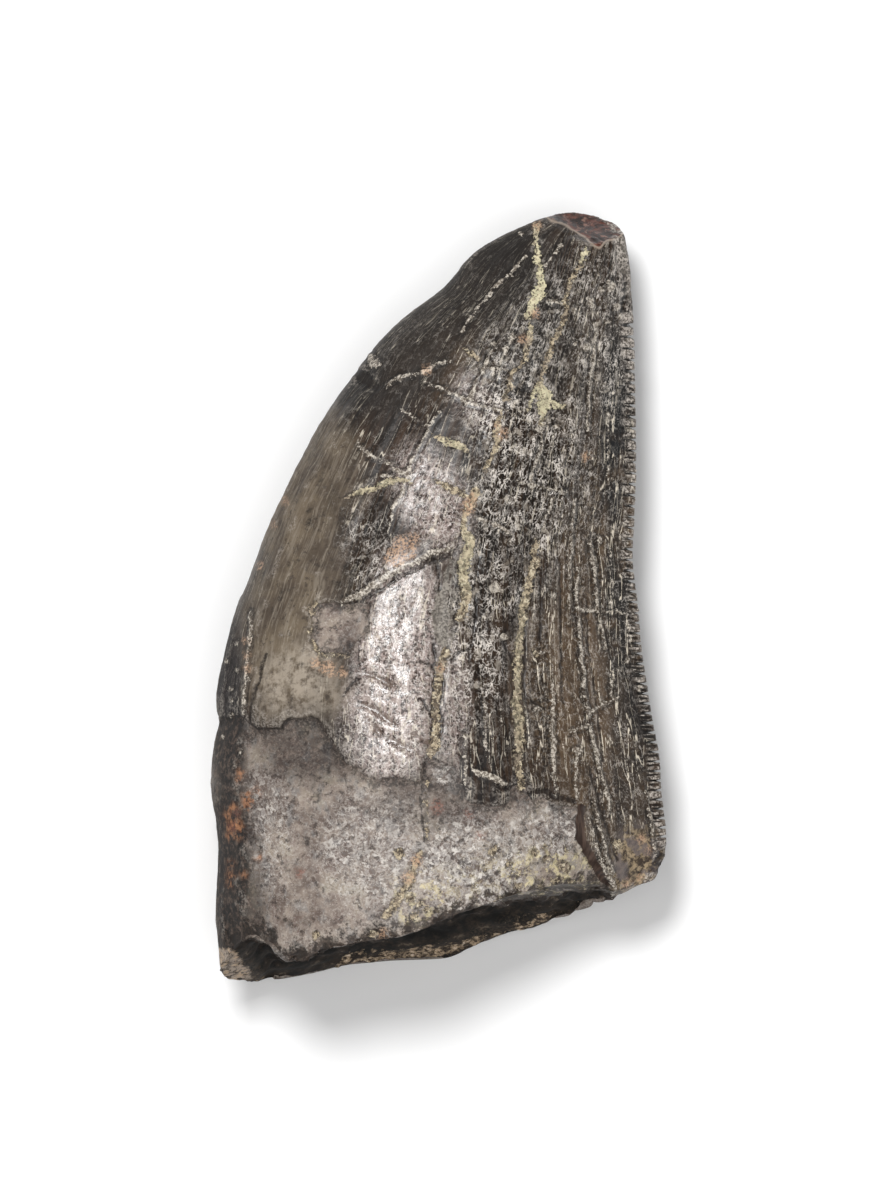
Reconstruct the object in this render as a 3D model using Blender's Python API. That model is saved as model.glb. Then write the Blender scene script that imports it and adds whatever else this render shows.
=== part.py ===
"""A broken tyrannosaur tooth crown, lying on its flatter side.

The front edge of the tooth faces -X and its serrated rear edge +X.
The broken base faces -Y and the worn tip +Y. The origin is on the
surface that the tooth rests on, in the middle of its outline.
"""

import bpy
import numpy as np
from mathutils import Vector, noise

MM = 0.001

# Driving dimensions, in millimetres
FRONT_EDGE = [
    (-13.25, -20.9), (-13.35, -17.5), (-13.2, -14.8), (-13.6, -10.6), (-13.0, -6.5),
    (-12.15, -2.2), (-10.65, 2.0), (-9.05, 5.9), (-7.25, 9.3), (-5.0, 12.8), (-3.2, 15.1),
    (-0.7, 17.2), (0.9, 18.5), (1.7, 19.6), (3.9, 21.05), (5.3, 21.65), (6.6, 22.1),
]
REAR_EDGE = [
    (12.75, -16.6), (13.35, -15.3), (13.4, -13.8), (13.1, -11.2), (13.0, -9.4), (12.55, -6.8),
    (12.2, -4.6), (11.85, -2.0), (11.75, -0.4), (11.5, 1.5), (11.6, 6.0), (11.62, 11.5),
    (11.5, 16.0), (11.35, 18.9), (11.2, 20.2), (10.95, 21.2),
]
# Along the tooth, from base (0) to tip (1), in millimetres
CREST_HEIGHT = [(0, 8.5), (0.2, 8.35), (0.4, 7.6), (0.6, 6.3), (0.8, 4.5), (0.92, 2.95), (1, 1.35)]
UNDER_DEPTH = [(0, 7.75), (0.2, 7.95), (0.4, 7.45), (0.6, 6.0), (0.8, 4.1), (0.92, 2.75), (1, 1.5)]
EDGE_LEVEL = [(0, 7.6), (0.2, 7.45), (0.4, 7.2), (0.6, 6.95), (0.8, 6.65), (1, 6.4)]
# Where the crest lies between the front edge (0) and the rear edge (1)
CREST_PLACE = [(0, 0.45), (0.6, 0.47), (0.85, 0.53), (1, 0.64)]
# Fullness of the section from its crest to the front edge and to the rear edge
UPPER_FULLNESS = (2.3, 1.75)
UNDER_FULLNESS = (2.6, 2.3)
ROUND_EDGE = 0.58
SHARP_EDGE = 1.12
CROWN_LENGTH = 40.0
CURVE_SAMPLES = 1200

# Serrations of the rear edge
DENTICLES = 51
DENTICLE_PITCH_GROWTH = 1.28
DENTICLE_LENGTH = 0.62
DENTICLE_HALF_WIDTH = 0.17
DENTICLE_SWELL = 0.05
SLIT_DEPTH = 0.27
SLIT_SHARE = 0.15
BASE_EDGE_ROWS = 4
BASE_EDGE_LENGTH = 2.2
TIP_EDGE_ROWS = 7

# Columns round the tooth
UPPER_COLUMNS = 44
LOWER_COLUMNS = 20
EDGE_CROWDING = 0.5

# The broken base: how far its rim stands towards the tip, across the tooth
UPPER_RIM = [
    (0, -1.2), (0.025, -0.4), (0.05, 0.45), (0.085, 0.5), (0.12, 0.1), (0.16, -1.2),
    (0.2, -1.05), (0.26, -0.75), (0.44, -0.7), (0.58, 0.1), (0.87, 0.25), (0.93, -0.2), (1, 0.1),
]
LOWER_RIM = [
    (0, -1.2), (0.04, -1.95), (0.12, -2.3), (0.3, -2.2), (0.42, -2.35), (0.52, -2.75),
    (0.62, -2.05), (0.75, -1.7), (0.9, -0.85), (1, 0.1),
]
RIM_REACH = 5.0
# Its middle, and how the rings inside the rim shrink: (share, whether every second point is left out)
BREAK_CENTRE_SHIFT = 0.4
BREAK_INSETS = [(0.9, False), (0.76, False), (0.6, True), (0.44, False), (0.28, True), (0.12, False)]
BREAK_HOLLOW = 1.0
BREAK_HOLLOW_FADE = 0.7
BREAK_ROUGHNESS = 0.5
BREAK_ROUGH_FADE = 0.1
# Rough grain of the break: size and share
BREAK_GRAIN = [(2.4, 0.65), (1.1, 0.35)]
# A pit by the front corner: its place across and up, radius, depth and how far it is drawn out upward
PIT_X, PIT_Z = -10.6, 10.6
PIT_RADIUS = 1.6
PIT_DEPTH = 1.3
PIT_STRETCH = 0.6
PIT_FADE = 0.15

# The worn tip leans its face upward
UPPER_TIP_LEAN = -0.75
LOWER_TIP_LEAN = -0.45
TIP_LEAN_START = 0.76
TIP_INSETS = [(0.8, False), (0.55, True), (0.25, True)]
TIP_HOLLOW = 0.18
TIP_HOLLOW_FADE = 0.6
TIP_ROUGHNESS = 0.12
TIP_ROUGH_FADE = 0.2
TIP_GRAIN = 0.8
INTO_THE_TIP = (-0.1, -0.75, -0.55)

# Bare zone by the base, where the enamel has flaked off; its outline starts at the front edge
BARE_DEPTH = 0.26
BARE_SLOPE = 0.5
BARE_OUTLINE = [
    (-14.5, -6.8), (-11.3, -6.8), (-10.7, -7.5), (-9.1, -7.6), (-8.4, -6.9), (-7.2, -6.9),
    (-5.6, -9.0), (-4.2, -10.1), (-0.9, -10.3), (-0.6, -9.2), (1.0, -9.7), (1.7, -11.7),
    (4.1, -11.8), (4.6, -10.7), (5.5, -11.6), (8.2, -12.0), (8.1, -13.9), (10.2, -16.6),
    (10.1, -24.0), (-14.5, -24.0),
]
UNDER_BARE_DEPTH = 0.2
UNDER_BARE_SLOPE = 0.6
UNDER_BARE_OUTLINE = [
    (-14.5, -11.0), (-9.0, -12.4), (-6.2, -10.2), (-2.0, -11.6), (1.5, -14.6), (6.0, -13.8),
    (9.5, -16.0), (14.5, -15.2), (14.5, -24.0), (-14.5, -24.0),
]
# A flake stands proud along this line, with a step down on its base side
STEP_LINE = [(-5.6, -0.2), (-4.2, 0.4), (-1.8, 1.8), (-0.6, 2.5), (1.0, 3.0)]
STEP_RISE = 0.3
STEP_WIDTH = 0.9
STEP_END_FADE = 1.2
STEP_STEEPNESS, STEP_BACK_STEEPNESS = 2.2, 0.6

# Ridges and grooves along the tooth: place between the front edge and the rear edge, half width, height
FRONT_RIDGE = (0.07, 0.02, 0.26)
FRONT_GROOVE = (0.24, 0.07, -0.3)
UNDER_RIDGE = (0.08, 0.03, 0.22)
UNDER_GROOVE = (0.72, 0.08, -0.25)
RIDGE_END, RIDGE_FADE = 0.8, 0.3
GROOVE_FADE = 0.2
# Low waves that run along the upper face
WAVE_HEIGHT = 0.05
WAVE_TURNS = (58.0, 37.0)
WAVE_TWIST = 2.0
WAVE_START, WAVE_START_FADE = 0.3, 0.1
WAVE_END, WAVE_END_FADE = 0.96, 0.05
WAVE_TIP_FADE = 0.4
# Uneven surface: size, seed and height
LUMPS = [(2.6, 11.0, 0.09), (1.2, 5.0, 0.05)]

# Chips: place, radius and depth
UPPER_CHIPS = [(-3.9, 12.4, 0.8, 0.3), (-11.3, -19.6, 1.3, 0.5), (11.9, -16.3, 1.1, 0.35)]
UNDER_CHIPS = [(-7.5, -18.5, 1.8, 0.5), (6.5, -14.5, 1.5, 0.35), (3.0, 16.5, 1.0, 0.3)]

ENAMEL_BROWN = (0.045, 0.033, 0.025, 1.0)
ENAMEL_ROUGHNESS = 0.42


def smooth_step(value):
    value = np.clip(value, 0.0, 1.0)
    return value * value * (3.0 - 2.0 * value)


def bump(value):
    """A soft hill that is 1 at 0 and fades to nothing past about 2."""
    return np.exp(-value * value)


def along(pairs, places):
    """Value of a list of (place, value) pairs, eased between them."""
    x, y = np.array(pairs, dtype=float).T
    places = np.asarray(places, dtype=float)
    slopes = np.gradient(y, x)
    k = np.clip(np.searchsorted(x, places, side="right") - 1, 0, len(x) - 2)
    span = x[k + 1] - x[k]
    u = (places - x[k]) / span
    near = (2 * u**3 - 3 * u**2 + 1) * y[k] + (u**3 - 2 * u**2 + u) * span * slopes[k]
    return near + (3 * u**2 - 2 * u**3) * y[k + 1] + (u**3 - u**2) * span * slopes[k + 1]


def curve_points(points, shares):
    """Points on a smooth curve through the given ones, at shares of its length."""
    points = np.array(points, dtype=float)
    chord = np.concatenate([[0.0], np.cumsum(np.linalg.norm(np.diff(points, axis=0), axis=1))])
    fine = np.linspace(0.0, chord[-1], CURVE_SAMPLES)
    path = np.stack([along(list(zip(chord, points[:, axis])), fine) for axis in (0, 1)], axis=1)
    length = np.concatenate([[0.0], np.cumsum(np.linalg.norm(np.diff(path, axis=0), axis=1))])
    wanted = np.asarray(shares) * length[-1]
    return np.stack([np.interp(wanted, length, path[:, axis]) for axis in (0, 1)], axis=1), length[-1]


def row_shares():
    """Shares of the rear edge's length at which the rows of the loft meet it."""
    edge_length = curve_points(REAR_EDGE, [0.0])[1]
    pitches = np.linspace(1.0, DENTICLE_PITCH_GROWTH, DENTICLES)
    tip_rows = np.full(TIP_EDGE_ROWS, pitches[-1])
    above_base = np.concatenate([pitches, tip_rows])
    above_base *= (edge_length - BASE_EDGE_LENGTH) / above_base.sum()
    below = np.full(BASE_EDGE_ROWS, BASE_EDGE_LENGTH / BASE_EDGE_ROWS)
    return np.concatenate([[0.0], np.cumsum(np.concatenate([below, above_base]))]) / edge_length


def signed_distance(outline, x, y):
    """Distance of each point from a closed outline, positive inside it."""
    corners = np.array(outline, dtype=float)
    nearest = np.full(x.shape, np.inf)
    inside = np.zeros(x.shape, dtype=bool)
    for (ax, ay), (bx, by) in zip(corners, np.roll(corners, -1, axis=0)):
        dx, dy = bx - ax, by - ay
        share = np.clip(((x - ax) * dx + (y - ay) * dy) / (dx * dx + dy * dy), 0.0, 1.0)
        nearest = np.minimum(nearest, np.hypot(x - ax - share * dx, y - ay - share * dy))
        if dy != 0:
            crosses = ((ay > y) != (by > y)) & (x < ax + (y - ay) * dx / dy)
            inside ^= crosses
    return np.where(inside, nearest, -nearest)


def lumps(points, size, seed):
    """Smooth random relief between about -1 and 1 at each point."""
    flat = points.reshape(-1, 3)
    shift = Vector((seed, -seed, 0.5 * seed))
    values = [noise.noise(Vector(point) / size + shift) for point in flat]
    return np.array(values).reshape(points.shape[:-1])


def column_shares():
    """Places of the columns across one row: the upper face from front to rear, then back below."""
    def crowded(count):
        even = np.linspace(0.0, 1.0, count)
        return (1 - EDGE_CROWDING) * even + EDGE_CROWDING * 0.5 * (1 - np.cos(np.pi * even))

    upper = crowded(UPPER_COLUMNS)
    lower = crowded(LOWER_COLUMNS)[::-1][:-1]
    return np.concatenate([upper, [1.0], lower]), UPPER_COLUMNS


def section_height(share, crest, fullness):
    """Height across a section: a round front edge, a crest, and a sharp rear edge."""
    front_fullness, rear_fullness = fullness
    front = np.clip((crest - share) / crest, 0.0, 1.0)
    rear = np.clip((share - crest) / (1 - crest), 0.0, 1.0)
    round_front = (1 - front**front_fullness) ** ROUND_EDGE
    sharp_rear = (1 - rear**rear_fullness) ** SHARP_EDGE
    return np.where(share < crest, round_front, sharp_rear)


def body_grid():
    """Places of the loft's rings: one row per ring, in millimetres, with each point's row and column."""
    shares = row_shares()
    rows = len(shares)
    level = np.linspace(0.0, 1.0, rows)[:, None]
    front = curve_points(FRONT_EDGE, np.linspace(0.0, 1.0, rows))[0]
    rear = curve_points(REAR_EDGE, shares)[0]
    columns, rear_column = column_shares()
    upper = np.arange(len(columns)) <= rear_column

    across = rear - front
    width = np.linalg.norm(across, axis=1)[:, None]
    towards_tip = np.stack([-across[:, 1], across[:, 0]], axis=1) / width
    share = columns[None, :] * (1 - DENTICLE_LENGTH / width)
    share[:, rear_column] = 1.0

    crest = along(CREST_PLACE, level)
    top = along(CREST_HEIGHT, level) * section_height(share, crest, UPPER_FULLNESS)
    under = -along(UNDER_DEPTH, level) * section_height(share, crest, UNDER_FULLNESS)
    rise = np.where(upper, top, under)

    rim = np.where(upper, along(UPPER_RIM, share), along(LOWER_RIM, share))
    fade = np.clip(1 - level * CROWN_LENGTH / RIM_REACH, 0.0, 1.0) ** 2
    lean = np.where(upper, UPPER_TIP_LEAN, LOWER_TIP_LEAN)
    shift = rim * fade + lean * rise * smooth_step((level - TIP_LEAN_START) / (1 - TIP_LEAN_START))

    grid = np.empty((rows, len(columns), 3))
    grid[..., 0] = front[:, None, 0] + across[:, None, 0] * share + towards_tip[:, None, 0] * shift
    grid[..., 1] = front[:, None, 1] + across[:, None, 1] * share + towards_tip[:, None, 1] * shift
    grid[..., 2] = along(EDGE_LEVEL, level) + rise
    return grid, level, share, upper, rear_column


def outward_normals(grid):
    """Unit normals of the loft, found from neighbouring points."""
    round_step = np.roll(grid, -1, axis=1) - np.roll(grid, 1, axis=1)
    long_step = np.gradient(grid, axis=0)
    normals = np.cross(round_step, long_step)
    return normals / np.maximum(np.linalg.norm(normals, axis=2, keepdims=True), 1e-9)


def chips(places, x, y):
    return sum(-depth * bump(np.hypot(x - cx, y - cy) / radius) for cx, cy, radius, depth in places)


def band(share, shape):
    """A ridge or a groove along the tooth."""
    place, half_width, height = shape
    return height * bump((share - place) / half_width)


def flake_step(x, y):
    """The flake that stands proud: steep towards the base, and sloping away on the other side."""
    line_x, line_y = np.array(STEP_LINE, dtype=float).T
    below = (np.interp(x, line_x, line_y) - y) / STEP_WIDTH
    ends = smooth_step((x - line_x[0]) / STEP_END_FADE) * smooth_step((line_x[-1] - x) / STEP_END_FADE)
    proud = np.where(below > 0, bump(STEP_STEEPNESS * below), bump(STEP_BACK_STEEPNESS * below))
    return STEP_RISE * proud * ends


def long_waves(share, level):
    first, second = WAVE_TURNS
    waves = np.cos(share * first) + np.cos(share * second + 1 + WAVE_TWIST * level)
    waves *= smooth_step((share - WAVE_START) / WAVE_START_FADE)
    waves *= smooth_step((WAVE_END - share) / WAVE_END_FADE)
    return WAVE_HEIGHT * waves * smooth_step((1 - level) / WAVE_TIP_FADE)


def upper_relief(grid, level, share):
    """Relief of the face that looks up."""
    x, y = grid[..., 0], grid[..., 1]
    bare = smooth_step(signed_distance(BARE_OUTLINE, x, y) / BARE_SLOPE + 0.5)
    ridge = band(share, FRONT_RIDGE) * smooth_step((RIDGE_END - level) / RIDGE_FADE)
    groove = band(share, FRONT_GROOVE) * smooth_step(level / GROOVE_FADE)
    waves = long_waves(share, level) * (1 - bare)
    return ridge + groove + waves - BARE_DEPTH * bare + flake_step(x, y) + chips(UPPER_CHIPS, x, y)


def under_relief(grid, level, share):
    """Relief of the face that the tooth rests on."""
    x, y = grid[..., 0], grid[..., 1]
    bare = smooth_step(signed_distance(UNDER_BARE_OUTLINE, x, y) / UNDER_BARE_SLOPE + 0.5)
    ridge = band(share, UNDER_RIDGE) * smooth_step((RIDGE_END - level) / RIDGE_FADE)
    groove = band(share, UNDER_GROOVE) * smooth_step(level / GROOVE_FADE)
    return ridge + groove - UNDER_BARE_DEPTH * bare + chips(UNDER_CHIPS, x, y)


def shaped_grid():
    """The rings with their relief, cut off flat where the tooth rests."""
    grid, level, share, upper, rear_column = body_grid()
    relief = np.where(upper, upper_relief(grid, level, share), under_relief(grid, level, share))
    for size, seed, height in LUMPS:
        relief += height * lumps(grid, size, seed)
    at_rear = np.abs(np.arange(grid.shape[1]) - rear_column) <= 1
    relief = np.where(at_rear, 0.0, relief)
    grid = grid + outward_normals(grid) * relief[..., None]
    grid[..., 2] = np.maximum(grid[..., 2], 0.0)
    return grid, rear_column


class Builder:
    """Collects points in millimetres and faces, and makes one mesh of them, centred in plan."""

    def __init__(self):
        self.points = []
        self.faces = []

    def add(self, point):
        self.points.append(tuple(point))
        return len(self.points) - 1

    def face(self, *corners):
        self.faces.append(corners)

    def mesh(self, name):
        points = np.array(self.points)
        middle = (points.min(axis=0) + points.max(axis=0)) / 2
        points[:, :2] -= middle[:2]
        mesh = bpy.data.meshes.new(name)
        mesh.from_pydata([Vector(point) * MM for point in points], [], self.faces)
        mesh.validate()
        return mesh


def denticle(builder, base, rear, outer, row, grid):
    """One chisel-shaped serration between two rows: four rows of points across the edge."""
    upper, lower = rear - 1, rear + 1
    half_width = np.array([0.0, 0.0, DENTICLE_HALF_WIDTH])
    swell = np.array([0.0, 0.0, DENTICLE_SWELL])
    rows = []
    for place in (SLIT_SHARE, 1 - SLIT_SHARE):
        foot_up = grid[row, upper] * (1 - place) + grid[row + 1, upper] * place
        foot_down = grid[row, lower] * (1 - place) + grid[row + 1, lower] * place
        crest = outer[row] * (1 - place) + outer[row + 1] * place
        points = (foot_up + swell, crest + half_width, crest - half_width, foot_down - swell)
        rows.append([builder.add(point) for point in points])
    first, last = rows
    slit, next_slit = base[row][rear], base[row + 1][rear]
    for across in range(3):
        builder.face(first[across], first[across + 1], last[across + 1], last[across])
    for slit_point, ring, crown in ((slit, base[row], first), (next_slit, base[row + 1], last)):
        faces = (
            (ring[upper], slit_point, crown[1], crown[0]),
            (slit_point, crown[2], crown[1]),
            (slit_point, ring[lower], crown[3], crown[2]),
        )
        for corners in faces:
            builder.face(*(corners if crown is first else corners[::-1]))
    builder.face(base[row][upper - 1], base[row][upper], first[0], last[0],
                 base[row + 1][upper], base[row + 1][upper - 1])
    builder.face(base[row][lower], base[row][lower + 1], base[row + 1][lower + 1],
                 base[row + 1][lower], last[3], first[3])


def close_end(builder, ring, centre, insets, place):
    """Closes a ring with rings that shrink to a centre; each inset is (share, halve)."""
    outer = list(ring)
    start = np.array([builder.points[index] for index in ring])
    for share, halve in insets:
        picked = start if not halve else start[::2]
        start = picked
        inner = [builder.add(place(centre + (point - centre) * share, share)) for point in picked]
        count = len(inner)
        for k in range(count):
            after = (k + 1) % count
            if halve:
                pair = (outer[2 * k], outer[2 * k + 1], outer[(2 * k + 2) % len(outer)])
                builder.face(*pair, inner[after], inner[k])
            else:
                builder.face(outer[k], outer[after], inner[after], inner[k])
        outer = inner
    middle = builder.add(place(np.array(centre), 0.0))
    for k in range(len(outer)):
        builder.face(outer[k], outer[(k + 1) % len(outer)], middle)


def break_point(point, share):
    """A point of the broken base: hollow in the middle, rough, with a pit by the front corner."""
    inward = BREAK_HOLLOW * smooth_step((1 - share) / BREAK_HOLLOW_FADE)
    grain = sum(part * noise.noise(Vector(point) / size) for size, part in BREAK_GRAIN)
    rough = BREAK_ROUGHNESS * grain * smooth_step((1 - share) / BREAK_ROUGH_FADE)
    from_pit = np.hypot(point[0] - PIT_X, PIT_STRETCH * (point[2] - PIT_Z)) / PIT_RADIUS
    pit = PIT_DEPTH * bump(from_pit) * min(1.0, (1 - share) / PIT_FADE)
    return point + np.array([0.0, inward + rough + pit, 0.0])


def worn_tip_point(point, share):
    """A point of the worn tip: a shallow dish that faces up and towards the tip."""
    inward = TIP_HOLLOW * smooth_step((1 - share) / TIP_HOLLOW_FADE)
    grain = noise.noise(Vector(point) / TIP_GRAIN)
    rough = TIP_ROUGHNESS * grain * smooth_step((1 - share) / TIP_ROUGH_FADE)
    return point + np.array(INTO_THE_TIP) * (inward + rough)


def make_tooth():
    """The whole tooth as one closed surface."""
    grid, rear = shaped_grid()
    rows, columns = grid.shape[:2]
    first_denticle = BASE_EDGE_ROWS
    last_denticle = first_denticle + DENTICLES
    outer = grid[:, rear].copy()
    inward = grid[:, rear - 1] + grid[:, rear + 1] - 2 * outer
    inward /= np.linalg.norm(inward, axis=1, keepdims=True)
    slits = slice(first_denticle + 1, last_denticle)
    grid[slits, rear] += SLIT_DEPTH * inward[slits]

    builder = Builder()
    base = [[builder.add(grid[row, column]) for column in range(columns)] for row in range(rows)]
    for row in range(rows - 1):
        serrated = first_denticle <= row < last_denticle
        for column in range(columns):
            after = (column + 1) % columns
            if serrated and rear - 2 <= column <= rear + 1:
                continue
            builder.face(base[row][column], base[row][after], base[row + 1][after], base[row + 1][column])
        if serrated:
            denticle(builder, base, rear, outer, row, grid)

    base_centre = grid[0].mean(axis=0) + np.array([0.0, BREAK_CENTRE_SHIFT, 0.0])
    close_end(builder, base[0][::-1], base_centre, BREAK_INSETS, break_point)
    close_end(builder, base[-1], grid[-1].mean(axis=0), TIP_INSETS, worn_tip_point)
    return builder.mesh("tooth")


def enamel_material():
    material = bpy.data.materials.new("fossil_enamel")
    material.use_nodes = True
    shader = material.node_tree.nodes["Principled BSDF"]
    shader.inputs["Base Color"].default_value = ENAMEL_BROWN
    shader.inputs["Roughness"].default_value = ENAMEL_ROUGHNESS
    shader.inputs["Metallic"].default_value = 0.0
    return material


def main():
    for old in list(bpy.data.objects):
        bpy.data.objects.remove(old, do_unlink=True)
    collection = bpy.data.collections.new("tyrannosaur_tooth")
    bpy.context.scene.collection.children.link(collection)
    mesh = make_tooth()
    mesh.materials.append(enamel_material())
    mesh.shade_smooth()
    tooth = bpy.data.objects.new("tooth", mesh)
    collection.objects.link(tooth)


main()
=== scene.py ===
"""Looks of the fossil tyrannosaur tooth: a dense skin with its cracks, bare patches and serrations."""

import math

import bmesh
import bpy
import numpy as np
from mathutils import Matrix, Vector, noise


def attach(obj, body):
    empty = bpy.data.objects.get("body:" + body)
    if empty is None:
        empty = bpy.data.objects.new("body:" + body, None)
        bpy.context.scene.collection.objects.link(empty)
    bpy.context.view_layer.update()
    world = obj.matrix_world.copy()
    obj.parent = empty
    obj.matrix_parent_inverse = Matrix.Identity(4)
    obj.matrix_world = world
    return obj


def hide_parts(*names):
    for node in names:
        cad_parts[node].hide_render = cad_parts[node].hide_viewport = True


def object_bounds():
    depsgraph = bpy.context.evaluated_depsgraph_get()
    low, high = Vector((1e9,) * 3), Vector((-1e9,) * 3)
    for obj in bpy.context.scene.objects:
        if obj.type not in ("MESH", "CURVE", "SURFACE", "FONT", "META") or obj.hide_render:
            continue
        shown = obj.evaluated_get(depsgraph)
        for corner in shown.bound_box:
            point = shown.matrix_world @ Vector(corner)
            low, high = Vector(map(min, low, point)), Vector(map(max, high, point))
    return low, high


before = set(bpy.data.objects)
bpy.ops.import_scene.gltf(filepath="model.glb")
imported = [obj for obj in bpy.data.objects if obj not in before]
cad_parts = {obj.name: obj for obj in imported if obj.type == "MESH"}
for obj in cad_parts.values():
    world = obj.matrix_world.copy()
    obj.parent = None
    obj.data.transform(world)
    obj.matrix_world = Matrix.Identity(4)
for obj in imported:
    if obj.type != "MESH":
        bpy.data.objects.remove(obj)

bpy.context.view_layer.update()
CAD_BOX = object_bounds()

MM = 0.001

# The photograph's frame and where the tooth's outline lies in it, in pixels
PHOTO_WIDTH, PHOTO_HEIGHT = 894, 1200
OUTLINE_LEFT, OUTLINE_RIGHT = 207, 667
OUTLINE_TOP, OUTLINE_BOTTOM = 212, 986
# Millimetres for each pixel, across, down and on average
LOW, HIGH = CAD_BOX
SCALE_X = (HIGH.x - LOW.x) / MM / (OUTLINE_RIGHT - OUTLINE_LEFT)
SCALE_Y = (HIGH.y - LOW.y) / MM / (OUTLINE_BOTTOM - OUTLINE_TOP)
PIXEL = 0.5 * (SCALE_X + SCALE_Y)

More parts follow.
